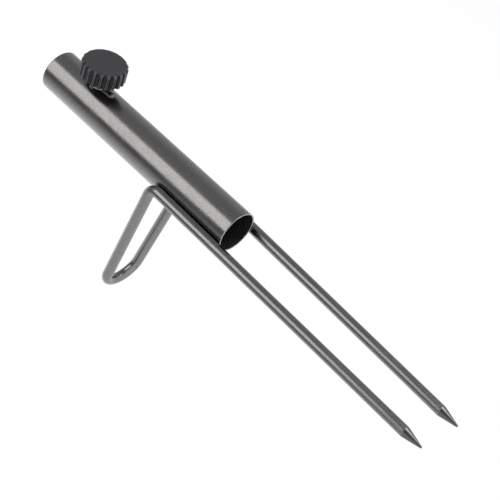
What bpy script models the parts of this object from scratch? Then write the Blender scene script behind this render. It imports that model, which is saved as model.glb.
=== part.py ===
"""Ground-spike umbrella holder, as solids.

A straight steel tube takes the umbrella pole. One steel rod, bent into two pointed prongs with a
foot loop behind, is welded along the tube's two sides. A fluted knob on a threaded stud turns in
a nut that is welded to the front of the tube, and clamps the pole.

Metres, +Z up. The origin is the centre of the tube's lower rim, at ground level in use: the tube
stands above it and the prongs go into the ground below it. The knob faces -Y, the foot loop +Y.
"""

import math

import bmesh
import bpy
from mathutils import Matrix, Vector

# The gap that welded or seated neighbours keep, so that no two solids overlap
SEAT_GAP = 0.0003

# Socket tube, cut square at both ends
TUBE_DIAMETER = 0.0320
TUBE_WALL = 0.0010
TUBE_LENGTH = 0.1930
TUBE_EDGE_BREAK = 0.0002

# Spike fork, one rod bent to shape
ROD_DIAMETER = 0.0080
PRONG_DEPTH = 0.1968
LEFT_PRONG_SHORTER_BY = 0.0023
POINT_LENGTH = 0.0147
POINT_TIP_DIAMETER = 0.0014
SHOULDER_HEIGHT = 0.0654
SHOULDER_BEND_RADIUS = 0.0090
SETBACK_AT_RIM = 0.0057
SETBACK_AT_SHOULDER = 0.0036
LOOP_LENGTH = 0.1049
LOOP_END_RADIUS = 0.0153
LOOP_RISE = math.radians(9.75)

# Clamp stud and its nut, on the front of the tube
CLAMP_BELOW_TOP = 0.0406
STUD_DIAMETER = 0.0080
STUD_REACH = 0.0200
STUD_GRIP = 0.0085
STUD_TIP_CHAMFER = 0.0010
TUBE_HOLE_CLEARANCE = 0.0004
NUT_ACROSS_FLATS = 0.0130
NUT_HEIGHT = 0.0065
NUT_FACE_SHARE = 0.98
NUT_CHAMFER_ANGLE = math.radians(30)
NUT_MOUTH_CHAMFER = 0.0006

# Fluted knob. At rest its skirt stands a little way out from the nut's outer face
KNOB_STANDOFF = 0.0015
KNOB_DIAMETER = 0.0340
KNOB_HEIGHT = 0.0122
KNOB_TOP_CHAMFER = 0.0015
KNOB_FOOT_CHAMFER = 0.0004
KNOB_RECESS_DEPTH = 0.0060
KNOB_SKIRT_WALL = 0.0022
KNOB_HUB_DIAMETER = 0.0160
KNOB_HUB_SETBACK = 0.0010
FIRST_FLUTE_ANGLE = math.radians(-5)
FLUTE_COUNT = 20
FLUTE_DEPTH = 0.0016
FLUTE_RADIUS = 0.0019

# Weld metal: two beads behind each rod, one under each side corner of the nut, and one on the tube's
# front line below the nut and one above it. Shares place a bead along the rod or in its crevice
ROD_BEAD_LENGTH = 0.0180
ROD_BEAD_WIDTH = 0.0058
ROD_BEAD_THICKNESS_SHARE = 0.8
ROD_BEAD_REARWARD_SHARE = 0.42
ROD_BEAD_LOW_SHARE = 0.214
ROD_BEAD_HIGH_SHARE = 0.673
SIDE_BEAD_LENGTH = 0.0040
SIDE_BEAD_WIDTH = 0.0020
SIDE_BEAD_RAISE = 0.0015
SIDE_BEAD_SINK = 0.0009
CREST_BEAD_WIDTH = 0.0062
CREST_BEAD_RISE = 0.0020
CREST_BEAD_REACH = 0.0156

# How far a cutting form runs past what it cuts
CUT_OVERRUN = 0.0020

# How finely round forms are divided
TUBE_SIDES = 72
ROD_SIDES = 20
STUD_SIDES = 40
NUT_SIDES = 48
KNOB_SIDES = 80
FLUTE_SIDES = 16
BEAD_SIDES = 20
SHOULDER_STEPS = 10
LOOP_END_STEPS = 24

# Values that follow from the sizes above
TUBE_RADIUS = TUBE_DIAMETER / 2
ROD_RADIUS = ROD_DIAMETER / 2
CLAMP_HEIGHT = TUBE_LENGTH - CLAMP_BELOW_TOP
NUT_SEAT = TUBE_RADIUS + SEAT_GAP
NUT_FACE = NUT_SEAT + NUT_HEIGHT
KNOB_FOOT = NUT_FACE + KNOB_STANDOFF
HUB_FACE = KNOB_FOOT + KNOB_HUB_SETBACK
NUT_CORNER_RADIUS = NUT_ACROSS_FLATS / 2 / math.cos(math.pi / 6)
STUD_HOLE_RADIUS = STUD_DIAMETER / 2 + SEAT_GAP


def clear_scene():
    """Remove whatever the file opened with."""
    for item in list(bpy.data.objects):
        bpy.data.objects.remove(item, do_unlink=True)


def principled(name, colour, roughness, metallic):
    """A plain Principled material."""
    material = bpy.data.materials.new(name)
    material.use_nodes = True
    shader = material.node_tree.nodes["Principled BSDF"]
    shader.inputs["Base Color"].default_value = (*colour, 1.0)
    shader.inputs["Roughness"].default_value = roughness
    shader.inputs["Metallic"].default_value = metallic
    return material


def link(name, mesh, material=None):
    """Put a mesh into the scene as one named object."""
    item = bpy.data.objects.new(name, mesh)
    bpy.context.scene.collection.objects.link(item)
    if material is not None:
        mesh.materials.append(material)
    return item


def shade(item, angle=math.radians(30)):
    """Smooth shading with crisp edges."""
    item.data.shade_smooth()
    item.data.set_sharp_from_angle(angle=angle)


def mesh_from(bm, name):
    """Turn a bmesh into a mesh whose faces point out."""
    bmesh.ops.remove_doubles(bm, verts=bm.verts, dist=1e-7)
    bmesh.ops.recalc_face_normals(bm, faces=bm.faces)
    mesh = bpy.data.meshes.new(name)
    bm.to_mesh(mesh)
    bm.free()
    return mesh


def turned(name, profile, sides):
    """Revolve a closed outline of (radius, height) points round +Z. Points at radius 0 close it."""
    bm = bmesh.new()
    rings = []
    for radius, height in profile:
        if radius < 1e-9:
            rings.append([bm.verts.new((0.0, 0.0, height))])
            continue
        turn = 2 * math.pi / sides
        rings.append([
            bm.verts.new((radius * math.cos(k * turn), radius * math.sin(k * turn), height))
            for k in range(sides)
        ])
    for low, high in zip(rings, rings[1:] + rings[:1]):
        if len(low) == 1 and len(high) == 1:
            continue
        for k in range(sides):
            nxt = (k + 1) % sides
            if len(low) == 1:
                bm.faces.new((low[0], high[nxt], high[k]))
            elif len(high) == 1:
                bm.faces.new((low[k], low[nxt], high[0]))
            else:
                bm.faces.new((low[k], low[nxt], high[nxt], high[k]))
    return mesh_from(bm, name)


def cutter(name, mesh, placing=Matrix.Identity(4)):
    """A helper solid for a Boolean, left out of the part."""
    mesh.transform(placing)
    item = link(name, mesh)
    item.hide_render = True
    item.display_type = "WIRE"
    return item


def boolean(item, tool, operation):
    """Apply a Boolean at once, and remove the helper solid."""
    modifier = item.modifiers.new(tool.name, "BOOLEAN")
    modifier.operation = operation
    modifier.solver = "EXACT"
    modifier.object = tool
    bpy.context.view_layer.update()
    evaluated = item.evaluated_get(bpy.context.evaluated_depsgraph_get())
    result = bpy.data.meshes.new_from_object(evaluated)
    item.modifiers.clear()
    materials = list(item.data.materials)
    item.data = result
    if materials and not result.materials:
        result.materials.append(materials[0])
    bpy.data.objects.remove(tool, do_unlink=True)


def clamp_frame():
    """Place something turned round +Z on the clamp's axis: its +Z points out of the tube's front."""
    return Matrix.Translation((0.0, 0.0, CLAMP_HEIGHT)) @ Matrix.Rotation(math.pi / 2, 4, "X")


def prong_line(side):
    """The rod's centre line on one side: its point level with the rim, and its upward direction.

    The rod touches the tube at the rim and at the shoulder, and leans by the two setbacks.
    """
    reach = TUBE_RADIUS + ROD_RADIUS + SEAT_GAP
    low = math.sqrt(reach ** 2 - SETBACK_AT_RIM ** 2)
    high = math.sqrt(reach ** 2 - SETBACK_AT_SHOULDER ** 2)
    foot = Vector((side * low, SETBACK_AT_RIM, 0.0))
    shoulder = Vector((side * high, SETBACK_AT_SHOULDER, SHOULDER_HEIGHT))
    return foot, shoulder, (shoulder - foot).normalized()


def rod_path():
    """Centre line and radius of the bent rod, from the left prong's tip to the right one's."""
    points = []
    radii = []

    def add(point, radius=ROD_RADIUS):
        points.append(point)
        radii.append(radius)

    back = Vector((0.0, math.cos(LOOP_RISE), math.sin(LOOP_RISE)))
    foot, shoulder, up = prong_line(-1)
    half = -shoulder.x
    middle = Vector((0.0, shoulder.y, shoulder.z))
    centre = middle + back * LOOP_LENGTH
    # Each leg runs from its shoulder, tangent to the loop's round end
    lean_in = math.atan2(half, LOOP_LENGTH) - math.asin(LOOP_END_RADIUS / math.hypot(half, LOOP_LENGTH))
    leg = Vector((math.sin(lean_in), 0.0, 0.0)) + back * math.cos(lean_in)

    # Left prong: blunt tip, cone, straight run
    depth = (PRONG_DEPTH - LEFT_PRONG_SHORTER_BY) / up.z
    add(foot - up * depth, POINT_TIP_DIAMETER / 2)
    add(foot - up * (depth - POINT_LENGTH))
    # Shoulder bend, an arc tangent to the prong and to the leg
    turn = up.angle(leg)
    inset = SHOULDER_BEND_RADIUS * math.tan(turn / 2)
    inward = (leg - up * up.dot(leg)).normalized()
    start = shoulder - up * inset
    hub = start + inward * SHOULDER_BEND_RADIUS
    for step in range(SHOULDER_STEPS + 1):
        angle = turn * step / SHOULDER_STEPS
        spoke = up * math.sin(angle) - inward * math.cos(angle)
        add(hub + spoke * SHOULDER_BEND_RADIUS)
    # Round end of the loop, left half of the arc with its middle point
    sweep = math.pi / 2 - lean_in
    half_steps = LOOP_END_STEPS // 2
    for step in range(half_steps + 1):
        angle = lean_in + sweep * step / half_steps
        spoke = Vector((-math.cos(angle), 0.0, 0.0)) + back * math.sin(angle)
        add(centre + spoke * LOOP_END_RADIUS)
    # The right side mirrors the left down to its prong, which is longer
    for point in points[-2:1:-1]:
        add(Vector((-point.x, point.y, point.z)))
    foot, shoulder, up = prong_line(1)
    depth = PRONG_DEPTH / up.z
    add(foot - up * (depth - POINT_LENGTH))
    add(foot - up * depth, POINT_TIP_DIAMETER / 2)
    return points, radii


def sweep_round(name, points, radii, sides):
    """A round bar along a path, with flat ends. Rings stand across the path, mitred at its bends."""
    bm = bmesh.new()
    rings = []
    across = Vector((0.0, 1.0, 0.0))
    last = len(points) - 1
    for index, (point, radius) in enumerate(zip(points, radii)):
        before = (point - points[max(index - 1, 0)]).normalized()
        after = (points[min(index + 1, last)] - point).normalized()
        along = (before + after).normalized()
        across = (across - along * across.dot(along)).normalized()
        other = along.cross(across)
        ring = []
        for k in range(sides):
            angle = 2 * math.pi * k / sides
            spoke = across * math.cos(angle) + other * math.sin(angle)
            ring.append(bm.verts.new(point + spoke * radius))
        rings.append(ring)
    for first, second in zip(rings, rings[1:]):
        for k in range(sides):
            nxt = (k + 1) % sides
            bm.faces.new((first[k], first[nxt], second[nxt], second[k]))
    bm.faces.new(rings[0])
    bm.faces.new(rings[-1])
    return mesh_from(bm, name)


def make_socket_tube(finish):
    """Plain tube with a hole through its front wall for the stud."""
    inner = TUBE_RADIUS - TUBE_WALL
    edge = TUBE_EDGE_BREAK
    top = TUBE_LENGTH
    profile = [
        (TUBE_RADIUS, edge),
        (TUBE_RADIUS, top - edge),
        (TUBE_RADIUS - edge, top),
        (inner + edge, top),
        (inner, top - edge),
        (inner, edge),
        (inner + edge, 0.0),
        (TUBE_RADIUS - edge, 0.0),
    ]
    tube = link("socket_tube", turned("socket_tube", profile, TUBE_SIDES), finish)
    hole_radius = STUD_HOLE_RADIUS + TUBE_HOLE_CLEARANCE
    length = TUBE_DIAMETER
    drill = turned("stud_hole", [(0, 0), (hole_radius, 0), (hole_radius, length), (0, length)], STUD_SIDES)
    boolean(tube, cutter("stud_hole", drill, clamp_frame()), "DIFFERENCE")
    shade(tube)
    return tube


def make_spike_fork(finish):
    """Both prongs and the foot loop, one rod."""
    points, radii = rod_path()
    fork = link("spike_fork", sweep_round("spike_fork", points, radii, ROD_SIDES), finish)
    shade(fork, math.radians(35))
    return fork


def hexagon_bar(name, corner_radius, low, high):
    """A hexagonal bar round +Z with corners on its X axis."""
    bm = bmesh.new()
    angles = [math.radians(60 * k) for k in range(6)]
    bottom = [bm.verts.new((corner_radius * math.cos(a), corner_radius * math.sin(a), low)) for a in angles]
    top = [bm.verts.new((corner_radius * math.cos(a), corner_radius * math.sin(a), high)) for a in angles]
    bm.faces.new(bottom)
    bm.faces.new(top)
    for k in range(6):
        nxt = (k + 1) % 6
        bm.faces.new((bottom[k], bottom[nxt], top[nxt], top[k]))
    return mesh_from(bm, name)


def make_clamp_nut(finish):
    """Hexagon nut with chamfered corners, seated on the tube's front line, one flat down."""
    face = NUT_ACROSS_FLATS / 2 * NUT_FACE_SHARE
    fall = (NUT_CORNER_RADIUS - face) * math.tan(NUT_CHAMFER_ANGLE)
    blank = turned("clamp_nut", [
        (0, NUT_SEAT),
        (face, NUT_SEAT),
        (NUT_CORNER_RADIUS, NUT_SEAT + fall),
        (NUT_CORNER_RADIUS, NUT_FACE - fall),
        (face, NUT_FACE),
        (0, NUT_FACE),
    ], NUT_SIDES)
    blank.transform(clamp_frame())
    nut = link("clamp_nut", blank, finish)
    low = NUT_SEAT - CUT_OVERRUN
    high = NUT_FACE + CUT_OVERRUN
    hexagon = hexagon_bar("hexagon", NUT_CORNER_RADIUS, low, high)
    boolean(nut, cutter("hexagon", hexagon, clamp_frame()), "INTERSECT")
    mouth = STUD_HOLE_RADIUS + NUT_MOUTH_CHAMFER
    bore = turned("nut_bore", [
        (0, low),
        (mouth + CUT_OVERRUN, low),
        (STUD_HOLE_RADIUS, NUT_SEAT + NUT_MOUTH_CHAMFER),
        (STUD_HOLE_RADIUS, NUT_FACE - NUT_MOUTH_CHAMFER),
        (mouth + CUT_OVERRUN, high),
        (0, high),
    ], STUD_SIDES)
    boolean(nut, cutter("nut_bore", bore, clamp_frame()), "DIFFERENCE")
    shade(nut)
    return nut


def make_clamp_stud(finish):
    """Plain-shank form of the threaded stud, with a chamfered tip inside the tube."""
    radius = STUD_DIAMETER / 2
    tip = HUB_FACE - STUD_REACH
    head = HUB_FACE + STUD_GRIP
    chamfer = STUD_TIP_CHAMFER
    profile = [
        (0, tip),
        (radius - chamfer, tip),
        (radius, tip + chamfer),
        (radius, head),
        (0, head),
    ]
    mesh = turned("clamp_stud", profile, STUD_SIDES)
    mesh.transform(Matrix.Rotation(math.pi / 2, 4, "X"))
    stud = link("clamp_stud", mesh, finish)
    stud.location = (0.0, 0.0, CLAMP_HEIGHT)
    shade(stud)
    return stud


def make_clamp_knob(finish):
    """Moulded knob: flat top, chamfered edge, flutes cut through it, hollow under its skirt."""
    radius = KNOB_DIAMETER / 2
    foot = KNOB_FOOT
    top = foot + KNOB_HEIGHT
    skirt = radius - FLUTE_DEPTH - KNOB_SKIRT_WALL
    ceiling = foot + KNOB_RECESS_DEPTH
    hub = KNOB_HUB_DIAMETER / 2
    socket_end = HUB_FACE + STUD_GRIP + SEAT_GAP
    profile = [
        (STUD_HOLE_RADIUS, socket_end),
        (STUD_HOLE_RADIUS, HUB_FACE),
        (hub, HUB_FACE),
        (hub, ceiling),
        (skirt, ceiling),
        (skirt, foot),
        (radius - KNOB_FOOT_CHAMFER, foot),
        (radius, foot + KNOB_FOOT_CHAMFER),
        (radius, top - KNOB_TOP_CHAMFER),
        (radius - KNOB_TOP_CHAMFER, top),
        (0, top),
        (0, socket_end),
    ]
    mesh = turned("clamp_knob", profile, KNOB_SIDES)
    knob = link("clamp_knob", mesh, finish)
    gouge_line = radius - FLUTE_DEPTH + FLUTE_RADIUS
    bm = bmesh.new()
    for k in range(FLUTE_COUNT):
        angle = FIRST_FLUTE_ANGLE + 2 * math.pi * k / FLUTE_COUNT
        place = Matrix.Rotation(angle, 4, "Z") @ Matrix.Translation((gouge_line, 0.0, (foot + top) / 2))
        bmesh.ops.create_cone(
            bm,
            cap_ends=True,
            segments=FLUTE_SIDES,
            radius1=FLUTE_RADIUS,
            radius2=FLUTE_RADIUS,
            depth=KNOB_HEIGHT + 2 * CUT_OVERRUN,
            matrix=place,
        )
    boolean(knob, cutter("flutes", mesh_from(bm, "flutes")), "DIFFERENCE")
    knob.data.transform(Matrix.Rotation(math.pi / 2, 4, "X"))
    knob.location = (0.0, 0.0, CLAMP_HEIGHT)
    shade(knob)
    return knob


def bead_blank(name, sizes, turn, centre):
    """An egg-shaped bead, its long way along Z, turned about Z and placed."""
    bm = bmesh.new()
    bmesh.ops.create_uvsphere(bm, u_segments=BEAD_SIDES, v_segments=BEAD_SIDES // 2, radius=0.5)
    mesh = mesh_from(bm, name)
    mesh.transform(Matrix.Diagonal((*sizes, 1.0)))
    mesh.transform(Matrix.Rotation(turn, 4, "Z"))
    mesh.transform(Matrix.Translation(centre))
    return mesh


def tube_room():
    """The tube's outside with a gap all round, to cut from a bead."""
    wall = TUBE_RADIUS + SEAT_GAP
    outline = [(0, -TUBE_WALL), (wall, -TUBE_WALL), (wall, TUBE_LENGTH), (0, TUBE_LENGTH)]
    return cutter("tube_room", turned("tube_room", outline, TUBE_SIDES))


def make_rod_bead(name, side, height, finish):
    """Weld bead in the crevice behind the tube and one rod."""
    foot, shoulder, up = prong_line(side)
    rod_centre = foot + up * (height / up.z)
    outward = Vector((rod_centre.x, rod_centre.y, 0.0)).normalized()
    contact = outward * (TUBE_RADIUS + SEAT_GAP / 2)
    rearward = Vector((-outward.y, outward.x, 0.0)) * side
    centre = contact + rearward * (ROD_BEAD_WIDTH * ROD_BEAD_REARWARD_SHARE) + Vector((0.0, 0.0, height))
    turn = math.atan2(outward.y, outward.x)
    sizes = (ROD_BEAD_WIDTH, ROD_BEAD_WIDTH * ROD_BEAD_THICKNESS_SHARE, ROD_BEAD_LENGTH)
    bead = link(name, bead_blank(name, sizes, turn, centre), finish)
    boolean(bead, tube_room(), "DIFFERENCE")
    room = ROD_RADIUS + SEAT_GAP
    ends = [foot - up * ROD_DIAMETER, shoulder + up * ROD_DIAMETER]
    rod_room = cutter("rod_room", sweep_round("rod_room", ends, [room, room], ROD_SIDES))
    boolean(bead, rod_room, "DIFFERENCE")
    shade(bead)
    return bead


def fit_nut_bead(name, blank, finish):
    """A bead cut to the tube and the nut, clear of both."""
    bead = link(name, blank, finish)
    boolean(bead, tube_room(), "DIFFERENCE")
    corner = NUT_CORNER_RADIUS + SEAT_GAP / math.cos(math.pi / 6)
    nut_room = hexagon_bar("nut_room", corner, NUT_SEAT - SEAT_GAP, NUT_FACE + CUT_OVERRUN)
    boolean(bead, cutter("nut_room", nut_room, clamp_frame()), "DIFFERENCE")
    shade(bead)
    return bead


def make_side_bead(name, side, finish):
    """Short weld bead in the wedge between the tube and one corner of the nut's seat."""
    front = SIDE_BEAD_SINK - NUT_SEAT
    centre = Vector((side * NUT_ACROSS_FLATS / 2, front, CLAMP_HEIGHT + SIDE_BEAD_RAISE))
    sizes = (SIDE_BEAD_WIDTH, SIDE_BEAD_WIDTH, SIDE_BEAD_LENGTH)
    return fit_nut_bead(name, bead_blank(name, sizes, math.pi / BEAD_SIDES, centre), finish)


def make_crest_bead(name, side, finish):
    """Round-ended weld bead on the tube's front line, run out from one flat of the nut."""
    sizes = (CREST_BEAD_WIDTH, CREST_BEAD_RISE * 2, CREST_BEAD_WIDTH)
    blank = bead_blank(name, sizes, 0.0, Vector((0.0, 0.0, 0.0)))
    round_end = CREST_BEAD_REACH - CREST_BEAD_WIDTH / 2
    run = round_end - NUT_ACROSS_FLATS / 2
    # The half of the egg towards the nut is drawn out by the length of the run
    for vertex in blank.vertices:
        if vertex.co.z * side < -SEAT_GAP:
            vertex.co.z -= side * run
    blank.transform(Matrix.Translation((0.0, -TUBE_RADIUS, CLAMP_HEIGHT + side * round_end)))
    return fit_nut_bead(name, blank, finish)


def build():
    """Make every piece."""
    clear_scene()
    plated = principled("black_nickel_steel", (0.19, 0.185, 0.185), 0.28, 1.0)
    weld = principled("plated_weld", (0.15, 0.145, 0.145), 0.45, 1.0)
    zinc = principled("stud_steel", (0.34, 0.33, 0.32), 0.35, 1.0)
    moulded = principled("black_plastic", (0.045, 0.045, 0.05), 0.42, 0.0)

    make_socket_tube(plated)
    make_spike_fork(plated)
    make_clamp_nut(plated)
    make_clamp_stud(zinc)
    make_clamp_knob(moulded)
    for side, word in ((-1, "left"), (1, "right")):
        make_side_bead(f"nut_weld_{word}", side, weld)
        make_rod_bead(f"rod_weld_{word}_low", side, SHOULDER_HEIGHT * ROD_BEAD_LOW_SHARE, weld)
        make_rod_bead(f"rod_weld_{word}_high", side, SHOULDER_HEIGHT * ROD_BEAD_HIGH_SHARE, weld)
    for side, word in ((-1, "low"), (1, "high")):
        make_crest_bead(f"nut_weld_{word}", side, weld)


build()
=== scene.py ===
import math

import bmesh
import bpy
from mathutils import Matrix, Vector


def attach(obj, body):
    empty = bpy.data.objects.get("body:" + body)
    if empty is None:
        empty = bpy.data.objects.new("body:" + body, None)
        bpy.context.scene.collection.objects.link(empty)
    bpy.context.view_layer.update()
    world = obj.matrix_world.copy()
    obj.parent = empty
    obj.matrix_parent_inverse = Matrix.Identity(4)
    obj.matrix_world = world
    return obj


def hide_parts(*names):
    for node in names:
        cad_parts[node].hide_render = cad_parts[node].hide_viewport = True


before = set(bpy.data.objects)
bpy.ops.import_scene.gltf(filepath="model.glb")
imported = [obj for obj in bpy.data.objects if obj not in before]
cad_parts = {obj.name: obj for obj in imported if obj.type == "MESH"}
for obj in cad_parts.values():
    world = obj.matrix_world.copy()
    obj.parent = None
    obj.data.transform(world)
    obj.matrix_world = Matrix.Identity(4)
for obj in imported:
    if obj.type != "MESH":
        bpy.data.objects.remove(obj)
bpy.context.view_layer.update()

# The socket tube: straight steel tube, 32 mm outside with a 1 mm wall, sawn square and its
# edges broken with a file, with a hole drilled for the stud. It is plated black nickel, which barely
# reaches the inside. The inside is coloured near black as painted shade, and the sawn rims lighter as
# a painted highlight.
TUBE_OUTSIDE = 0.0320
TUBE_WALL = 0.0010
TUBE_LENGTH = 0.1930
TUBE_EDGE = 0.0002
EDGE_MIDDLE = 0.3
EDGE_BAND = 0.0006
TUBE_SIDES = 192
CLAMP_HEIGHT = 0.1524
STUD_HOLE = 0.0094
HOLE_SIDES = 64
MERGE_DISTANCE = 1e-7
PLATE_ROUGHNESS = (0.20, 0.27)
RIM_ROUGHNESS = (0.22, 0.30)
BORE_ROUGHNESS = (0.50, 0.65)
BORE_PAINTED_SHADE = 1
RIM_PAINTED_HIGHLIGHT = 2


def add_piece(name, mesh, body, nodes, materials, sharp_angle):
    """Puts one finished mesh on a body of the frame in place of its plain solids."""
    piece = bpy.data.objects.new(name, mesh)
    bpy.context.scene.collection.objects.link(piece)
    for material in materials:
        mesh.materials.append(material)
    mesh.shade_smooth()
    mesh.set_sharp_from_angle(angle=math.radians(sharp_angle))
    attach(piece, body)
    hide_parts(*nodes)


def mesh_of(bm, name):
    """Closes a bmesh and turns its faces outward."""
    bmesh.ops.remove_doubles(bm, verts=bm.verts, dist=MERGE_DISTANCE)
    bmesh.ops.recalc_face_normals(bm, faces=bm.faces)
    mesh = bpy.data.meshes.new(name)
    bm.to_mesh(mesh)
    bm.free()
    return mesh


def round_ring(bm, radius, height, sides):
    """A ring of corners round +Z."""
    step = 2 * math.pi / sides
    return [
        bm.verts.new((radius * math.cos(k * step), radius * math.sin(k * step), height))
        for k in range(sides)
    ]


def join_rings(bm, low, high):
    """Closes the band between two rings, with triangles where one of them is a point."""
    for k in range(len(low)):
        following = (k + 1) % len(low)
        corners = []
        for vert in (low[k], low[following], high[following], high[k]):
            if vert not in corners:
                corners.append(vert)
        if len(corners) > 2:
            bm.faces.new(corners)


def lathe(outline, sides, name, closed=False):
    """Turns an outline of (radius, height) round +Z. Radius 0 makes a point on the axis."""
    bm = bmesh.new()
    rings = []
    for radius, height in outline:
        if radius == 0:
            rings.append([bm.verts.new((0.0, 0.0, height))] * sides)
        else:
            rings.append(round_ring(bm, radius, height, sides))
    if closed:
        rings.append(rings[0])
    for low, high in zip(rings, rings[1:]):
        join_rings(bm, low, high)
    return mesh_of(bm, name)


def cut_away(piece_mesh, tool_mesh, keep_common=False):
    """Subtracts one mesh from another, or keeps what they share, and returns the result."""
    work = bpy.data.objects.new("work", piece_mesh)
    tool = bpy.data.objects.new("tool", tool_mesh)
    for item in (work, tool):
        bpy.context.scene.collection.objects.link(item)
    modifier = work.modifiers.new("cut", "BOOLEAN")
    modifier.operation = "INTERSECT" if keep_common else "DIFFERENCE"
    modifier.solver = "EXACT"
    modifier.object = tool
    bpy.context.view_layer.update()
    result = bpy.data.meshes.new_from_object(work.evaluated_get(bpy.context.evaluated_depsgraph_get()))
    for item in (work, tool):
        bpy.data.objects.remove(item, do_unlink=True)
    return result


def clamp_place():
    """From a form turned round +Z to the clamp's axis, its top towards the front of the tube."""
    return Matrix.Translation((0.0, 0.0, CLAMP_HEIGHT)) @ Matrix.Rotation(math.pi / 2, 4, "X")


def new_material(name):
    """A material, its node tree, its shader, and the place on the object as an output."""
    material = bpy.data.materials.new(name)
    material.use_nodes = True
    tree = material.node_tree
    place = tree.nodes.new("ShaderNodeTexCoord").outputs["Object"]
    return material, tree, tree.nodes["Principled BSDF"], place


def new_node(tree, kind, **inputs):
    """Adds a node and sets its inputs by name, with _ for a space."""
    node = tree.nodes.new(kind)
    for key, value in inputs.items():
        node.inputs[key.replace("_", " ")].default_value = value
    return node


def noise(tree, place, **inputs):
    """A cloudy pattern, as a 0 to 1 output."""
    node = new_node(tree, "ShaderNodeTexNoise", **inputs)
    tree.links.new(place, node.inputs["Vector"])
    return node.outputs["Fac"]


def ramp(tree, source, low, high):
    """Maps a pattern's middle part onto a range."""
    node = new_node(tree, "ShaderNodeMapRange", From_Min=0.3, From_Max=0.7, To_Min=low, To_Max=high)
    tree.links.new(source, node.inputs["Value"])
    return node.outputs["Result"]


def tint(tree, shader, source, dark, light):
    """Colours the surface between two colours by a 0 to 1 output."""
    node = tree.nodes.new("ShaderNodeMix")
    node.data_type = "RGBA"
    node.inputs["A"].default_value = (*dark, 1.0)
    node.inputs["B"].default_value = (*light, 1.0)
    tree.links.new(source, node.inputs["Factor"])
    tree.links.new(node.outputs["Result"], shader.inputs["Base Color"])


def bump(tree, shader, source, **inputs):
    """Raises the surface a little by a pattern."""
    node = new_node(tree, "ShaderNodeBump", **inputs)
    tree.links.new(source, node.inputs["Height"])
    tree.links.new(node.outputs["Normal"], shader.inputs["Normal"])


def nickel_plate(name, grain, dark, light, rough):
    """Black nickel plate: dark and semi-gloss, speckled, with the tool lines of the steel below it."""
    material, tree, shader, place = new_material(name)
    shader.inputs["Metallic"].default_value = 1.0
    stretch = new_node(tree, "ShaderNodeMapping", Scale=grain)
    tree.links.new(place, stretch.inputs["Vector"])
    lines = noise(tree, stretch.outputs["Vector"], Scale=1400.0, Detail=3.0, Roughness=0.6)
    cloud = noise(tree, place, Scale=55.0, Detail=4.0, Roughness=0.55)
    speck = noise(tree, place, Scale=1200.0, Detail=1.0, Roughness=0.5)
    tint(tree, shader, ramp(tree, speck, 0.0, 1.0), dark, light)
    tree.links.new(ramp(tree, cloud, *rough), shader.inputs["Roughness"])
    bump(tree, shader, lines, Strength=0.05, Distance=0.0001)
    return material


def painted_shade_bore(name):
    """The tube's inside, where the plating runs out, coloured near black as painted shade."""
    material, tree, shader, place = new_material(name)
    shader.inputs["Metallic"].default_value = 0.3
    shade_mottle = noise(tree, place, Scale=180.0, Detail=5.0, Roughness=0.6)
    # Near-black colour: painted shade inside the bore, mottled at random.
    tint(tree, shader, shade_mottle, dark=(0.006, 0.007, 0.008), light=(0.014, 0.015, 0.016))
    tree.links.new(ramp(tree, shade_mottle, *BORE_ROUGHNESS), shader.inputs["Roughness"])
    return material


tube_finish = nickel_plate(
    "black nickel on drawn tube", grain=(1.0, 1.0, 0.03),
    dark=(0.181, 0.176, 0.181), light=(0.267, 0.261, 0.267), rough=PLATE_ROUGHNESS,
)
# The sawn rims are coloured lighter than the plate: a painted highlight for the light their edges catch.
rim_painted_highlight = nickel_plate(
    "plate on sawn rims, painted highlight", grain=(1.0, 1.0, 1.0),
    dark=(0.31, 0.31, 0.31), light=(0.41, 0.41, 0.40), rough=RIM_ROUGHNESS,
)
outer = TUBE_OUTSIDE / 2
inner = outer - TUBE_WALL
# A narrow band beside each edge keeps the long wall's shading straight from end to end
tube_mesh = lathe([
    (outer, TUBE_EDGE),
    (outer, EDGE_BAND),
    (outer, TUBE_LENGTH - EDGE_BAND),
    (outer, TUBE_LENGTH - TUBE_EDGE),
    (outer - TUBE_EDGE * EDGE_MIDDLE, TUBE_LENGTH - TUBE_EDGE * EDGE_MIDDLE),
    (outer - TUBE_EDGE, TUBE_LENGTH),
    (inner + TUBE_EDGE, TUBE_LENGTH),
    (inner, TUBE_LENGTH - TUBE_EDGE),
    (inner, TUBE_LENGTH - EDGE_BAND),
    (inner, EDGE_BAND),
    (inner, TUBE_EDGE),
    (inner + TUBE_EDGE, 0.0),
    (outer - TUBE_EDGE, 0.0),
    (outer - TUBE_EDGE * EDGE_MIDDLE, TUBE_EDGE * EDGE_MIDDLE),
], TUBE_SIDES, "tube", closed=True)
drill = lathe([
    (0.0, 0.0),
    (STUD_HOLE / 2, 0.0),
    (STUD_HOLE / 2, TUBE_OUTSIDE),
    (0.0, TUBE_OUTSIDE),
], HOLE_SIDES, "drill")
drill.transform(clamp_place())
tube_mesh = cut_away(tube_mesh, drill)
add_piece("tube", tube_mesh, "frame", ["socket_tube"],
          [tube_finish, painted_shade_bore("bore in painted shade"), rim_painted_highlight], sharp_angle=25)
for face in tube_mesh.polygons:
    # Faces at the ends take the rims' painted highlight.
    if min(face.center.z, TUBE_LENGTH - face.center.z) < TUBE_EDGE:
        face.material_index = RIM_PAINTED_HIGHLIGHT
    # Faces inside the bore take its painted shade.
    elif math.hypot(face.center.x, face.center.y) < inner + TUBE_EDGE / 2:
        face.material_index = BORE_PAINTED_SHADE


# The spike fork: one 8 mm steel rod, cold bent into two prongs with a foot loop behind, its ends
# turned to points. It is welded to the tube's sides and plated with it.
ROD = 0.0080
PRONG_DEPTH = {-1: 0.1945, 1: 0.1968}
POINT_LENGTH = 0.0147
POINT_TIP = 0.0014
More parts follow.
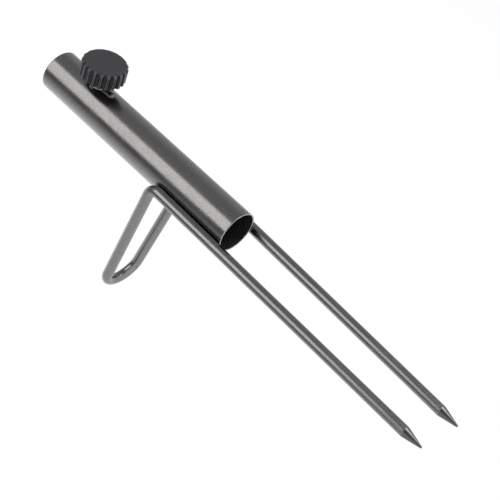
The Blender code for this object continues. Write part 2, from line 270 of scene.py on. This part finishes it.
# The nose as (distance from its end, share of the tip's width), and the point as (share of its
# length, share of its growth in width): a straight taper with a soft shoulder where it meets the bar
NOSE = ((0.0, 0.45), (0.0001, 0.8))
NOSE_LENGTH = 0.00035
POINT = (
    (NOSE_LENGTH / POINT_LENGTH, 0.024), (0.05, 0.05), (0.1, 0.1), (0.5, 0.5), (0.96, 0.96),
    (0.99, 0.985), (1.03, 1.0),
)
SHOULDER_HEIGHT = 0.0654
SHOULDER_BEND = 0.0090
SETBACK_AT_RIM = 0.0057
SETBACK_AT_SHOULDER = 0.0036
LOOP_LENGTH = 0.1049
LOOP_END = 0.0153
LOOP_RISE = math.radians(9.75)
SEAT_GAP = 0.0003
RUN_BAND = 0.0008
BEND_STEPS = 24
ROD_SIDES = 48
POINT_ROUGHNESS = (0.12, 0.17)
POINT_PAINTED_SHADE = 1


def prong_line(side):
    """The rod's centre line beside the tube: level with the rim, at the shoulder, and its way up."""
    reach = outer + ROD / 2 + SEAT_GAP
    low = math.sqrt(reach ** 2 - SETBACK_AT_RIM ** 2)
    high = math.sqrt(reach ** 2 - SETBACK_AT_SHOULDER ** 2)
    foot = Vector((side * low, SETBACK_AT_RIM, 0.0))
    shoulder = Vector((side * high, SETBACK_AT_SHOULDER, SHOULDER_HEIGHT))
    return foot, shoulder, (shoulder - foot).normalized()


def prong_end(side):
    """One prong, from its blunt nose up to the plain bar: points on its centre line with radii."""
    foot, shoulder, up = prong_line(side)
    depth = PRONG_DEPTH[side] / up.z
    widths = [(along, share * POINT_TIP) for along, share in NOSE]
    widths += [(along * POINT_LENGTH, POINT_TIP + share * (ROD - POINT_TIP)) for along, share in POINT]
    widths.append((widths[-1][0] + RUN_BAND, ROD))
    return [(foot - up * (depth - along), width / 2) for along, width in widths]


def fork_line():
    """The bent rod's centre line and radius, from the left point round to the right one."""
    back = Vector((0.0, math.cos(LOOP_RISE), math.sin(LOOP_RISE)))
    foot, shoulder, up = prong_line(-1)
    half_width = -shoulder.x
    centre = Vector((0.0, shoulder.y, shoulder.z)) + back * LOOP_LENGTH
    lean_in = math.atan2(half_width, LOOP_LENGTH)
    lean_in -= math.asin(LOOP_END / math.hypot(half_width, LOOP_LENGTH))
    leg = Vector((math.sin(lean_in), 0.0, 0.0)) + back * math.cos(lean_in)
    # The bend at the shoulder, from the prong's line into the loop's leg
    turn = up.angle(leg)
    inset = SHOULDER_BEND * math.tan(turn / 2)
    inward = (leg - up * up.dot(leg)).normalized()
    hub = shoulder - up * inset + inward * SHOULDER_BEND
    line = [shoulder - up * (inset + RUN_BAND)]
    for step in range(BEND_STEPS + 1):
        angle = turn * step / BEND_STEPS
        line.append(hub + (up * math.sin(angle) - inward * math.cos(angle)) * SHOULDER_BEND)
    line.append(shoulder + leg * (inset + RUN_BAND))
    # The loop's round end, as far as its middle
    spokes = []
    for step in range(BEND_STEPS + 1):
        angle = lean_in + (math.pi / 2 - lean_in) * step / BEND_STEPS
        spokes.append(Vector((-math.cos(angle), 0.0, 0.0)) + back * math.sin(angle))
    line.append(centre + spokes[0] * LOOP_END - leg * RUN_BAND)
    line += [centre + spoke * LOOP_END for spoke in spokes]
    line += [Vector((-point.x, point.y, point.z)) for point in reversed(line[:-1])]
    return prong_end(-1) + [(point, ROD / 2) for point in line] + list(reversed(prong_end(1)))


def sweep_rod(line, sides, name):
    """A round bar along a line of (point, radius), closed with flat ends."""
    bm = bmesh.new()
    rings = []
    across = Vector((0.0, 1.0, 0.0))
    last = len(line) - 1
    for index, (point, radius) in enumerate(line):
        before = (point - line[max(index - 1, 0)][0]).normalized()
        after = (line[min(index + 1, last)][0] - point).normalized()
        along = (before + after).normalized()
        across = (across - along * across.dot(along)).normalized()
        other = along.cross(across)
        rings.append([
            bm.verts.new(point + (across * math.cos(a) + other * math.sin(a)) * radius)
            for a in (2 * math.pi * k / sides for k in range(sides))
        ])
    for first, second in zip(rings, rings[1:]):
        join_rings(bm, first, second)
    bm.faces.new(rings[0])
    bm.faces.new(rings[-1])
    return mesh_of(bm, name)


rod_finish = nickel_plate(
    "black nickel on round bar", grain=(1.0, 1.0, 1.0),
    dark=(0.180, 0.179, 0.183), light=(0.253, 0.251, 0.256), rough=PLATE_ROUGHNESS,
)
# The points are coloured darker than the bar: painted shade for the dark surroundings they reflect.
point_painted_shade = nickel_plate(
    "black nickel on turned points, painted darker", grain=(0.03, 0.03, 1.0),
    dark=(0.112, 0.112, 0.115), light=(0.142, 0.142, 0.145), rough=POINT_ROUGHNESS,
)
fork_mesh = sweep_rod(fork_line(), ROD_SIDES, "fork")
add_piece("fork", fork_mesh, "frame", ["spike_fork"],
          [rod_finish, point_painted_shade], sharp_angle=35)
for face in fork_mesh.polygons:
    side = 1 if face.center.x > 0 else -1
    # Faces on the points take their painted shade.
    if face.center.z < POINT_LENGTH - PRONG_DEPTH[side]:
        face.material_index = POINT_PAINTED_SHADE


# The clamp nut: an M8 hexagon nut, 13 mm across flats and 6.5 mm high, its corners chamfered on both
# faces. It sits on the tube's front line with two flats across the tube, and is welded there.
NUT_FLATS = 0.0130
NUT_HEIGHT = 0.0065
NUT_SEAT = outer + SEAT_GAP
NUT_FACE = NUT_SEAT + NUT_HEIGHT
NUT_CORNER = NUT_FLATS / 2 / math.cos(math.pi / 6)
NUT_CORNER_WEAR = 0.00005
NUT_FACE_SHARE = 0.98
NUT_FACE_RADIUS = NUT_FLATS / 2 * NUT_FACE_SHARE
NUT_CHAMFER = (NUT_CORNER - NUT_FACE_RADIUS) * math.tan(math.radians(30))
NUT_SIDES = 96
STUD = 0.0080
THREAD_GAP = 0.0001
BORE_RADIUS = STUD / 2 + THREAD_GAP
MOUTH_DEPTH = 0.0006
MOUTH_WIDENING = 0.0025
CUT_OVERRUN = 0.0020

nut_mesh = lathe([
    (0.0, NUT_SEAT),
    (NUT_FACE_RADIUS, NUT_SEAT),
    (NUT_CORNER, NUT_SEAT + NUT_CHAMFER),
    (NUT_CORNER, NUT_FACE - NUT_CHAMFER),
    (NUT_FACE_RADIUS, NUT_FACE),
    (0.0, NUT_FACE),
], NUT_SIDES, "nut")
hexagon = lathe([
    (0.0, NUT_SEAT - CUT_OVERRUN),
    (NUT_CORNER - NUT_CORNER_WEAR, NUT_SEAT - CUT_OVERRUN),
    (NUT_CORNER - NUT_CORNER_WEAR, NUT_FACE + CUT_OVERRUN),
    (0.0, NUT_FACE + CUT_OVERRUN),
], 6, "hexagon")
nut_mesh = cut_away(nut_mesh, hexagon, keep_common=True)
nut_bore = lathe([
    (0.0, NUT_SEAT - CUT_OVERRUN),
    (BORE_RADIUS + MOUTH_WIDENING, NUT_SEAT - CUT_OVERRUN),
    (BORE_RADIUS, NUT_SEAT + MOUTH_DEPTH),
    (BORE_RADIUS, NUT_FACE - MOUTH_DEPTH),
    (BORE_RADIUS + MOUTH_WIDENING, NUT_FACE + CUT_OVERRUN),
    (0.0, NUT_FACE + CUT_OVERRUN),
], HOLE_SIDES, "nut bore")
nut_mesh = cut_away(nut_mesh, nut_bore)
nut_mesh.transform(clamp_place())
add_piece("nut", nut_mesh, "frame", ["clamp_nut"], [rod_finish], sharp_angle=30)


# The weld beads: short runs of weld metal, laid by hand and plated over with the rest. Two lie on
# the tube's front line against the nut, two under its side corners, and two behind each rod.
CREST_WIDTH = 0.0062
CREST_RISE = 0.0020
CREST_REACH = 0.0156
SIDE_WIDTH = 0.0020
SIDE_LENGTH = 0.0040
SIDE_RAISE = 0.0015
SIDE_SINK = 0.0009
CREVICE_WIDTH = 0.0058
CREVICE_DEPTH = 0.0046
CREVICE_LENGTH = 0.0180
REARWARD_SHARE = 0.42
CREVICE_HEIGHTS = {"low": 0.0140, "high": 0.0440}
RIPPLE_PITCH = 0.0012
RIPPLE_BOW = 0.30
RIPPLE_RISE = 0.05
WANDER_RISE = 0.03
WANDER_TURNS = 2.3
BEAD_BODY = 0.93
BEAD_ROOT = 0.0005
BEAD_ROWS = 96
BEAD_SIDES = 40
WELD_ROUGHNESS = (0.24, 0.34)


def weld_run(name, width, depth, length):
    """A run of weld metal along Z: rounded ends, and a skin of crescent ripples."""
    bm = bmesh.new()
    rings = [[bm.verts.new((0.0, 0.0, -length / 2))] * BEAD_SIDES]
    for row in range(1, BEAD_ROWS):
        along = length * (1 - math.cos(math.pi * row / BEAD_ROWS)) / 2
        into = min(min(along, length - along) / (width / 2), 1.0)
        rounding = math.sqrt(1 - (1 - into) ** 2)
        ring = []
        for k in range(BEAD_SIDES):
            angle = 2 * math.pi * k / BEAD_SIDES
            # Each ripple is bowed, because the pool of metal cools from its edges
            phase = (along + RIPPLE_BOW * width * math.cos(angle) ** 2) / RIPPLE_PITCH
            ripple = RIPPLE_RISE * math.sin(2 * math.pi * phase)
            wander = WANDER_RISE * math.sin(WANDER_TURNS * angle + along / RIPPLE_PITCH)
            swell = rounding * (BEAD_BODY + (ripple + wander) * rounding)
            ring.append(bm.verts.new((
                width / 2 * swell * math.cos(angle),
                depth / 2 * swell * math.sin(angle),
                along - length / 2,
            )))
        rings.append(ring)
    rings.append([bm.verts.new((0.0, 0.0, length / 2))] * BEAD_SIDES)
    for first, second in zip(rings, rings[1:]):
        join_rings(bm, first, second)
    return mesh_of(bm, name)


def lay_bead(name, size, centre, turn=0.0):
    """Puts one run of weld in its place, instead of the plain bead of the same name."""
    mesh = weld_run(name, *size)
    mesh.transform(Matrix.Translation(centre) @ Matrix.Rotation(turn, 4, "Z"))
    # The root melts into the tube's wall and stops there, short of the bore
    deepest = outer - BEAD_ROOT
    for vert in mesh.vertices:
        reach = math.hypot(vert.co.x, vert.co.y)
        if reach < deepest:
            vert.co.x *= deepest / reach
            vert.co.y *= deepest / reach
    add_piece(name, mesh, "frame", [name], [weld_painted_shade], sharp_angle=60)


# The weld's plate is coloured darker than the tube's: painted shade that dims its highlights.
weld_painted_shade = nickel_plate(
    "black nickel on weld, painted darker", grain=(1.0, 1.0, 1.0),
    dark=(0.110, 0.110, 0.112), light=(0.150, 0.150, 0.152), rough=WELD_ROUGHNESS,
)
for side, word in ((-1, "low"), (1, "high")):
    run = CREST_REACH - NUT_FLATS / 2 + CREST_WIDTH / 2
    middle = CLAMP_HEIGHT + side * (CREST_REACH - run / 2)
    lay_bead(f"nut_weld_{word}", (CREST_WIDTH, CREST_RISE * 2, run), Vector((0.0, -outer, middle)))
for side, word in ((-1, "left"), (1, "right")):
    beside = Vector((side * NUT_FLATS / 2, SIDE_SINK - NUT_SEAT, CLAMP_HEIGHT + SIDE_RAISE))
    lay_bead(f"nut_weld_{word}", (SIDE_WIDTH, SIDE_WIDTH, SIDE_LENGTH), beside)
    foot, shoulder, up = prong_line(side)
    for level, height in CREVICE_HEIGHTS.items():
        rod = foot + up * (height / up.z)
        outward = Vector((rod.x, rod.y, 0.0)).normalized()
        rearward = Vector((-outward.y, outward.x, 0.0)) * side
        spot = outward * (outer + SEAT_GAP / 2) + rearward * CREVICE_WIDTH * REARWARD_SHARE
        spot.z = height
        size = (CREVICE_WIDTH, CREVICE_DEPTH, CREVICE_LENGTH)
        lay_bead(f"rod_weld_{word}_{level}", size, spot, math.atan2(outward.y, outward.x))


# The clamp stud: an M8 threaded rod of 1.25 mm pitch, moulded into the knob, with a chamfered tip
# that presses on the pole. It is bright zinc plated.
PITCH = 0.00125
THREAD_DEPTH = 0.00075
THREAD_CREST = 0.12
THREAD_FLANK = 0.70
STUD_TIP = 0.0053
STUD_CHAMFER = 0.0010
STUD_SHANK = 0.0262
STUD_HEAD = 0.0338
STUD_SIDES = 56
ROWS_PER_PITCH = 12
ZINC_ROUGHNESS = (0.28, 0.42)


def zinc_plate(name):
    """Bright zinc plate, a little dull on the thread."""
    material, tree, shader, place = new_material(name)
    shader.inputs["Metallic"].default_value = 1.0
    dull = noise(tree, place, Scale=700.0, Detail=4.0, Roughness=0.6)
    tint(tree, shader, dull, dark=(0.34, 0.33, 0.31), light=(0.46, 0.45, 0.43))
    tree.links.new(ramp(tree, dull, *ZINC_ROUGHNESS), shader.inputs["Roughness"])
    return material


def threaded_rod(name):
    """A rod whose skin rises and falls with the thread, cut back by the chamfer at its tip."""
    bm = bmesh.new()
    rows = round((STUD_SHANK - STUD_TIP) / PITCH * ROWS_PER_PITCH)
    rings = []
    for row in range(rows + 1):
        height = STUD_TIP + (STUD_SHANK - STUD_TIP) * row / rows
        chamfer = STUD / 2 - STUD_CHAMFER + (height - STUD_TIP)
        ring = []
        for k in range(STUD_SIDES):
            angle = 2 * math.pi * k / STUD_SIDES
            phase = (height / PITCH - k / STUD_SIDES) % 1.0
            from_crest = abs(phase - 0.5) * 2
            depth = THREAD_DEPTH * min(max((from_crest - THREAD_CREST) / THREAD_FLANK, 0.0), 1.0)
            radius = min(STUD / 2 - depth, chamfer)
            ring.append(bm.verts.new((radius * math.cos(angle), radius * math.sin(angle), height)))
        rings.append(ring)
    rings.append(round_ring(bm, STUD / 2, STUD_HEAD, STUD_SIDES))
    for low, high in zip(rings, rings[1:]):
        join_rings(bm, low, high)
    bm.faces.new(rings[0])
    bm.faces.new(rings[-1])
    return mesh_of(bm, name)


stud_mesh = threaded_rod("stud")
stud_mesh.transform(clamp_place())
add_piece("stud", stud_mesh, "screw", ["clamp_stud"],
          [zinc_plate("bright zinc thread")], sharp_angle=40)


# The knob: moulded in one piece from black plastic, with a flat top, a chamfered edge and twenty
# scooped flutes. Its skirt is hollow round the hub that grips the stud. Its colours hold painted
# light: painted shade in the flutes and on the lands, a painted highlight on the flutes' edges and
# on the chamfer.
KNOB = 0.0340
KNOB_STANDOFF = 0.0015
KNOB_FOOT = NUT_FACE + KNOB_STANDOFF
KNOB_HEIGHT = 0.0122
KNOB_TOP = KNOB_FOOT + KNOB_HEIGHT
KNOB_CHAMFER = 0.0015
CHAMFER_FOOT = KNOB_TOP - KNOB_CHAMFER
CHAMFER_RINGS = (0.22, 0.40, 0.58, 0.76)
# Rings beside a corner that keep its rounding small: two bands, and a step just past the corner
CORNER_BANDS = (0.0005, 0.0002)
CORNER_STEP = 0.0001
CORNER_DROP = 0.00008
FOOT_EDGE = 0.0004
FOOT_BAND = 0.0007
HUB = 0.0160
HUB_SETBACK = 0.0010
HUB_EDGE = 0.0003
HUB_DRAFT = 0.0001
HUB_BORE_DEPTH = 0.0040
RECESS_DEPTH = 0.0060
RECESS_CORNER = 0.0005
SKIRT_WALL = 0.0022
SKIRT_EDGE = 0.0003
FLUTES = 20
FLUTE_DEPTH = 0.0016
FLUTE_RADIUS = 0.0019
FLUTE_CENTRE = KNOB / 2 - FLUTE_DEPTH + FLUTE_RADIUS
FLUTE_FLOOR = KNOB / 2 - FLUTE_DEPTH
FLUTE_EDGE_ROUNDING = 0.00018
FLUTE_PITCH = 2 * math.pi / FLUTES
FIRST_FLUTE = math.radians(-5)
# Corners across half a flute and land, as shares of half the pitch, closest at the flute's edge
FLUTE_CORNERS = (0.0, 0.13, 0.26, 0.38, 0.48, 0.56, 0.62, 0.66, 0.685, 0.71, 0.75, 0.83, 0.92, 1.0)
# Width of the painted highlight along the flutes' edges.
EDGE_HIGHLIGHT_WIDTH = 0.00028
SIDE_MARGIN = 0.0001
LEVEL_FACE = 0.9
# FACE is the plastic's own colour; the other finishes carry painted shade or a painted highlight.
FACE, FLUTE_PAINTED_SHADE, EDGE_PAINTED_HIGHLIGHT, CHAMFER_PAINTED_LIGHT, LAND_PAINTED_SHADE = range(5)


def black_plastic(name, dark, light, rough):
    """Black moulding with the fine grain of its tool."""
    material, tree, shader, place = new_material(name)
    shader.inputs["Specular IOR Level"].default_value = 0.28
    grain = noise(tree, place, Scale=3200.0, Detail=2.0, Roughness=0.5)
    rub = noise(tree, place, Scale=120.0, Detail=3.0, Roughness=0.5)
    tint(tree, shader, rub, dark, light)
    tree.links.new(ramp(tree, rub, *rough), shader.inputs["Roughness"])
    bump(tree, shader, grain, Strength=0.08, Distance=0.00005)
    return material


def off_flute(angle):
    """The angle from the middle of the nearest flute."""
    return (angle - FIRST_FLUTE + FLUTE_PITCH / 2) % FLUTE_PITCH - FLUTE_PITCH / 2


def fluted_radius(angle, land):
    """How far out the knob's side lies at an angle, where its lands reach the radius land."""
    off = off_flute(angle)
    beside = FLUTE_CENTRE * math.sin(off)
    if abs(beside) >= FLUTE_RADIUS:
        return land
    scoop = FLUTE_CENTRE * math.cos(off) - math.sqrt(FLUTE_RADIUS ** 2 - beside ** 2)
    # The edge between scoop and land is rounded
    soft = FLUTE_EDGE_ROUNDING
    gap = scoop - land
    return land + (gap - math.sqrt(gap ** 2 + soft ** 2)) / 2 + soft / 2 * math.exp(-abs(gap) / soft)


def skin_at(angle, above):
    """Which finish the knob's side has at an angle, and at a height above the chamfer's foot: painted
    shade in flutes and on lands, a painted highlight on flute edges and chamfer.
    """
    land = KNOB / 2 - max(0.0, above)
    plain = CHAMFER_PAINTED_LIGHT if above > 0 else LAND_PAINTED_SHADE
    off = abs(off_flute(angle))
    if land <= FLUTE_FLOOR:
        near_floor = off * FLUTE_CENTRE < FLUTE_RADIUS / 2 and FLUTE_FLOOR - land < EDGE_HIGHLIGHT_WIDTH / 2
        return EDGE_PAINTED_HIGHLIGHT if near_floor else plain
    edge = math.acos((land ** 2 + FLUTE_CENTRE ** 2 - FLUTE_RADIUS ** 2) / (2 * land * FLUTE_CENTRE))
    beside = (off - edge) * land
    if abs(beside) < EDGE_HIGHLIGHT_WIDTH / 2:
        return EDGE_PAINTED_HIGHLIGHT
    if beside < 0:
        return EDGE_PAINTED_HIGHLIGHT if land - FLUTE_FLOOR < EDGE_HIGHLIGHT_WIDTH / 2 else FLUTE_PAINTED_SHADE
    return EDGE_PAINTED_HIGHLIGHT if abs(above) < EDGE_HIGHLIGHT_WIDTH / 2 else plain


def knob_ring(bm, turns, reach, height, fluted):
    """A ring of the knob's corners, plain or following the flutes."""
    ring = []
    for angle in turns:
        radius = fluted_radius(angle, reach) if fluted else reach
        ring.append(bm.verts.new((radius * math.cos(angle), radius * math.sin(angle), height)))
    return ring


full = KNOB / 2
skirt = FLUTE_FLOOR - SKIRT_WALL
turns = []
for flute in range(FLUTES):
    middle = FIRST_FLUTE + flute * FLUTE_PITCH
    turns += [middle - share * FLUTE_PITCH / 2 for share in reversed(FLUTE_CORNERS[1:])]
    turns += [middle + share * FLUTE_PITCH / 2 for share in FLUTE_CORNERS[:-1]]
inside = [
    (STUD / 2 + SEAT_GAP, KNOB_FOOT + HUB_SETBACK + HUB_BORE_DEPTH),
    (STUD / 2 + SEAT_GAP, KNOB_FOOT + HUB_SETBACK),
    (HUB / 2 - HUB_EDGE, KNOB_FOOT + HUB_SETBACK),
    (HUB / 2, KNOB_FOOT + HUB_SETBACK + HUB_EDGE),
    (HUB / 2 + HUB_DRAFT, KNOB_FOOT + RECESS_DEPTH - RECESS_CORNER),
    (HUB / 2 + HUB_DRAFT + RECESS_CORNER, KNOB_FOOT + RECESS_DEPTH),
    (skirt - RECESS_CORNER, KNOB_FOOT + RECESS_DEPTH),
    (skirt, KNOB_FOOT + RECESS_DEPTH - RECESS_CORNER),
    (skirt, KNOB_FOOT + SKIRT_EDGE),
    (skirt + SKIRT_EDGE, KNOB_FOOT),
]
outside = [
    (full - FOOT_EDGE, KNOB_FOOT),
    (full - FOOT_EDGE * EDGE_MIDDLE, KNOB_FOOT + FOOT_EDGE * EDGE_MIDDLE),
    (full, KNOB_FOOT + FOOT_EDGE),
    (full, KNOB_FOOT + FOOT_BAND),
]
outside += [(full, CHAMFER_FOOT - band) for band in CORNER_BANDS]
outside.append((full - CORNER_DROP, CHAMFER_FOOT + CORNER_STEP))
outside += [(full - KNOB_CHAMFER * share, CHAMFER_FOOT + KNOB_CHAMFER * share) for share in CHAMFER_RINGS]
outside.append((full - KNOB_CHAMFER + CORNER_STEP, KNOB_TOP - CORNER_DROP))
outside += [(full - KNOB_CHAMFER - band, KNOB_TOP) for band in reversed(CORNER_BANDS)]
bm = bmesh.new()
rings = [knob_ring(bm, turns, reach, height, fluted=False) for reach, height in inside]
rings += [knob_ring(bm, turns, reach, height, fluted=True) for reach, height in outside]
for low, high in zip(rings, rings[1:]):
    join_rings(bm, low, high)
bm.faces.new(rings[0])
bm.faces.new(rings[-1])
knob_mesh = mesh_of(bm, "knob")
skins = []
for face in knob_mesh.polygons:
    spot = face.center
    on_side = math.hypot(spot.x, spot.y) > FLUTE_FLOOR - SIDE_MARGIN and abs(face.normal.z) < LEVEL_FACE
    skins.append(skin_at(math.atan2(spot.y, spot.x), spot.z - CHAMFER_FOOT) if on_side else FACE)
knob_mesh.transform(clamp_place())
add_piece("knob", knob_mesh, "knob", ["clamp_knob"], [
    black_plastic("satin black face", (0.035, 0.033, 0.039), (0.047, 0.045, 0.052), (0.36, 0.44)),
    # Painted shade in the flutes.
    black_plastic("black flutes, painted shade", (0.003, 0.003, 0.005), (0.006, 0.006, 0.009), (0.34, 0.42)),
    # A painted highlight on the flutes' edges.
    black_plastic("black flute edges, painted highlight", (0.100, 0.098, 0.106), (0.160, 0.158, 0.166), (0.32, 0.42)),
    # A painted highlight on the chamfer.
    black_plastic("black chamfer, painted highlight", (0.040, 0.038, 0.044), (0.064, 0.062, 0.068), (0.34, 0.42)),
    # Painted shade on the lands of the side.
    black_plastic("black lands, painted shade", (0.016, 0.015, 0.019), (0.026, 0.025, 0.029), (0.34, 0.42)),
], sharp_angle=50)
knob_mesh.polygons.foreach_set("material_index", skins)


# The plain white studio: a pale floor well below, a large soft light at the front left, and a low
# narrow one at the front right that gives the points their streak. The room's walls are given as
# (azimuth in degrees, brightness), and each zone fades in over the one below it between two angles.
FLOOR_BELOW = 1.4
FLOOR_RADIUS = 3.0
FLOOR_SIDES = 96
FLOOR_COLOUR = (0.9, 0.9, 0.9, 1.0)
FLOOR_ROUGHNESS = 0.8
FLOOR_GLOW = 0.42
WHITE = (1.0, 1.0, 1.0, 1.0)
BELOW = ((-180, 1.0),)
HORIZON = ((-180, 1.0), (-167, 1.0), (-157, 0.36), (-112, 0.30), (-98, 0.80), (-60, 1.0), (179.9, 1.0))
LOW_WALLS = (
    (-180, 1.0), (-168, 1.0), (-157, 0.30), (-120, 0.42), (-62, 0.36), (-25, 0.56), (12, 0.76),
    (32, 1.0), (179.9, 1.0),
)
WALLS = (
    (-180, 0.24), (-170, 0.26), (-120, 0.42), (-100, 0.39), (-62, 0.36), (-50, 0.43), (-25, 0.56),
    (0, 0.59), (12, 0.76), (20, 0.92), (32, 1.0), (55, 1.0), (68, 1.25), (92, 1.30), (115, 1.13),
    (131, 0.88), (147, 0.58), (158, 0.34), (167, 0.16), (176, 0.22), (179.9, 0.24),
)
FADES = (((-21, -16), HORIZON), ((1, 7), LOW_WALLS), ((9, 14), WALLS))
BRIGHTEST = 1.4


def all_round(tree, turn, levels):
    """Brightness that changes round the room, from a list of (azimuth, level)."""
    ring = tree.nodes.new("ShaderNodeValToRGB")
    stops = ring.color_ramp.elements
    stops.remove(stops[-1])
    for index, (azimuth, level) in enumerate(levels):
        place = (azimuth + 180) / 360
        stop = stops.new(place) if index else stops[0]
        stop.position = place
        stop.color = (level / BRIGHTEST, level / BRIGHTEST, level / BRIGHTEST, 1.0)
    tree.links.new(turn, ring.inputs["Fac"])
    lifted = tree.nodes.new("ShaderNodeMath")
    lifted.operation = "MULTIPLY"
    lifted.inputs[1].default_value = BRIGHTEST
    tree.links.new(ring.outputs["Color"], lifted.inputs[0])
    return lifted.outputs["Value"]


def studio_world():
    """A plain room, built up from its lower part to its walls."""
    world = bpy.data.worlds.new("studio")
    bpy.context.scene.world = world
    world.use_nodes = True
    tree = world.node_tree
    way = tree.nodes.new("ShaderNodeTexCoord").outputs["Generated"]
    # Round the room: the radial gradient is 0 and 1 at -X, and 0.5 at +X
    round_room = tree.nodes.new("ShaderNodeTexGradient")
    round_room.gradient_type = "RADIAL"
    tree.links.new(way, round_room.inputs["Vector"])
    turn = round_room.outputs["Fac"]
    split = tree.nodes.new("ShaderNodeSeparateXYZ")
    tree.links.new(way, split.inputs["Vector"])
    shown = all_round(tree, turn, BELOW)
    for (start, end), levels in FADES:
        low, high = math.sin(math.radians(start)), math.sin(math.radians(end))
        rise = new_node(tree, "ShaderNodeMapRange", From_Min=low, From_Max=high)
        rise.interpolation_type = "SMOOTHSTEP"
        tree.links.new(split.outputs["Z"], rise.inputs["Value"])
        fade = tree.nodes.new("ShaderNodeMix")
        tree.links.new(rise.outputs["Result"], fade.inputs["Factor"])
        tree.links.new(shown, fade.inputs["A"])
        tree.links.new(all_round(tree, turn, levels), fade.inputs["B"])
        shown = fade.outputs["Result"]
    tree.links.new(shown, tree.nodes["Background"].inputs["Strength"])
    tree.nodes["Background"].inputs["Color"].default_value = WHITE


def pale_floor():
    """A wide white floor."""
    bm = bmesh.new()
    bmesh.ops.create_circle(bm, cap_ends=True, segments=FLOOR_SIDES, radius=FLOOR_RADIUS)
    mesh = mesh_of(bm, "floor")
    floor = bpy.data.objects.new("floor", mesh)
    bpy.context.scene.collection.objects.link(floor)
    floor.location = (0.0, 0.0, -FLOOR_BELOW)
    material = bpy.data.materials.new("white floor")
    material.use_nodes = True
    shader = material.node_tree.nodes["Principled BSDF"]
    shader.inputs["Base Color"].default_value = FLOOR_COLOUR
    shader.inputs["Roughness"].default_value = FLOOR_ROUGHNESS
    shader.inputs["Emission Color"].default_value = WHITE
    shader.inputs["Emission Strength"].default_value = FLOOR_GLOW
    mesh.materials.append(material)


def soft_light(name, toward, distance, width, height, radiance, colour):
    """A rectangular soft light that faces the object from a direction."""
    lamp = bpy.data.lights.new(name, "AREA")
    lamp.shape = "RECTANGLE"
    lamp.size = width
    lamp.size_y = height
    lamp.energy = radiance * math.pi * width * height
    lamp.color = colour
    item = bpy.data.objects.new(name, lamp)
    bpy.context.scene.collection.objects.link(item)
    way = Vector(toward).normalized()
    item.location = way * distance
    item.rotation_euler = way.to_track_quat("Z", "Y").to_euler()
    item.visible_camera = False


studio_world()
pale_floor()
soft_light("key light", toward=(-0.7294, -0.4975, 0.4695), distance=2.6,
           width=2.25, height=1.84, radiance=1.86, colour=(1.0, 0.98, 0.93))
soft_light("low edge light", toward=(0.2696, -0.9403, -0.2079), distance=1.6,
           width=0.90, height=0.45, radiance=3.6, colour=(1.0, 1.0, 1.0))


# The camera, at the photograph's angle and with its lens. Both were found together with the part's
# shape, from the edges of the tube, the rods, the loop and the knob.
CAMERA_PLACE = (-0.6191, -0.6058, -0.3801)
CAMERA_RIGHT = (0.6782, -0.2823, -0.6785)
CAMERA_UP = (0.3294, -0.7085, 0.6241)
CAMERA_AHEAD = (0.6569, 0.6468, 0.3876)
LENS = 99.7
SENSOR = 36.0
NEAREST = 0.01

camera = bpy.data.cameras.new("camera")
camera.lens = LENS
camera.sensor_width = SENSOR
camera.clip_start = NEAREST
viewer = bpy.data.objects.new("camera", camera)
bpy.context.scene.collection.objects.link(viewer)
aim = Matrix((CAMERA_RIGHT, CAMERA_UP, [-value for value in CAMERA_AHEAD])).transposed()
viewer.matrix_world = Matrix.Translation(CAMERA_PLACE) @ aim.to_4x4()
bpy.context.scene.camera = viewer
bpy.context.scene.view_settings.view_transform = "Standard"
